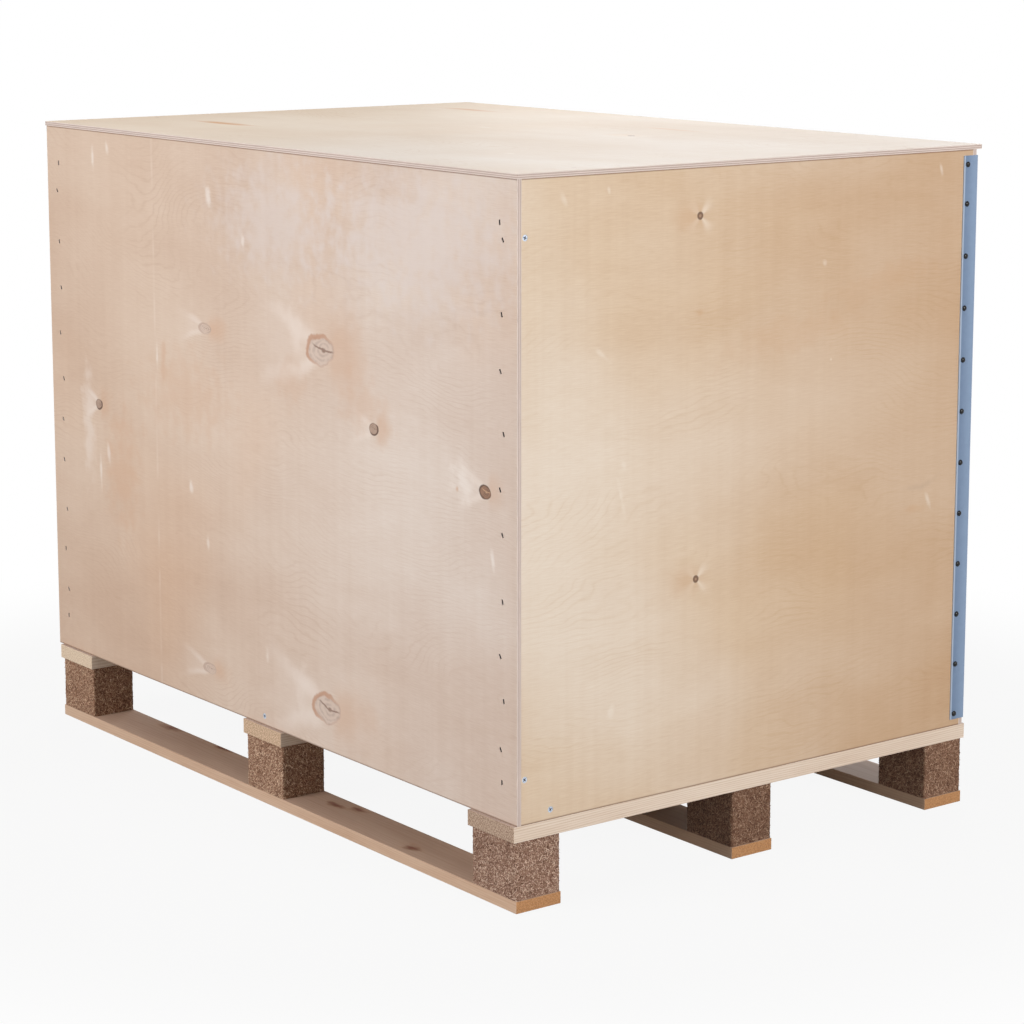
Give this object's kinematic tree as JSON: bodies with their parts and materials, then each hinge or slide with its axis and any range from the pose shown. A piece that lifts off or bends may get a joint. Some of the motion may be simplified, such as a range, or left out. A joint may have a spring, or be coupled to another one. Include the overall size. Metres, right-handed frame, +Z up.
{
  "type": "wooden pallet collar",
  "caption": "Tall plywood pallet collar with a loose lift-off lid, screwed to a four-way block pallet; battened and screwed front corners, riveted steel angles at the rear.",
  "frame": {"origin": "centre of the pallet's underside, on the middle runner", "axes": "+X along the long side to the right end panel, +Y to the rear panel with the steel corners, +Z up"},
  "size_m": [1.1982, 0.805, 0.9325],
  "materials": {
    "birch_plywood": "bare birch veneer, sanded",
    "sawn_wood": "rough sawn softwood",
    "runner_wood": "rough sawn softwood, darkened",
    "pressed_chip": "pressed wood chips",
    "galvanised_angle": "galvanised sheet",
    "zinc_steel": "bright zinc",
    "dark_steel": "dark glossy steel"
  },
  "bodies": {
    "box": {"runner_front": "runner_wood", "runner_middle": "runner_wood", "runner_rear": "runner_wood", "block_front_left": "pressed_chip", "block_front_middle": "pressed_chip", "block_front_right": "pressed_chip", "block_middle_left": "pressed_chip", "block_centre": "pressed_chip", "block_middle_right": "pressed_chip", "block_rear_left": "pressed_chip", "block_rear_middle": "pressed_chip", "block_rear_right": "pressed_chip", "bearer_left": "sawn_wood", "bearer_middle": "sawn_wood", "bearer_right": "sawn_wood", "deck_board_1": "sawn_wood", "deck_board_2": "sawn_wood", "deck_board_3": "sawn_wood", "deck_board_4": "sawn_wood", "deck_board_5": "sawn_wood", "deck_board_6": "sawn_wood", "deck_board_7": "sawn_wood", "runner_nails": "zinc_steel", "bearer_nails": "zinc_steel", "deck_nails": "zinc_steel", "front_panel": "birch_plywood", "rear_panel": "birch_plywood", "left_end_panel": "birch_plywood", "right_end_panel": "birch_plywood", "corner_batten_left": "sawn_wood", "corner_batten_right": "sawn_wood", "batten_nails_left": "dark_steel", "batten_nails_right": "dark_steel", "corner_screws": "zinc_steel", "base_screws": "zinc_steel", "corner_angle_left": "galvanised_angle", "corner_angle_right": "galvanised_angle", "angle_rivets_left": "dark_steel", "angle_rivets_right": "dark_steel"},
    "lid": {"lid_panel": "birch_plywood", "lid_nails": "dark_steel", "lid_cleat_front_left": "sawn_wood", "lid_cleat_front_right": "sawn_wood", "lid_cleat_rear_left": "sawn_wood", "lid_cleat_rear_right": "sawn_wood"}
  },
  "joints": [
    {"name": "lid_lift", "type": "slide", "parent": "box", "child": "lid", "axis": [0, 0, 1], "range_m": [0, 0.12]}
  ]
}
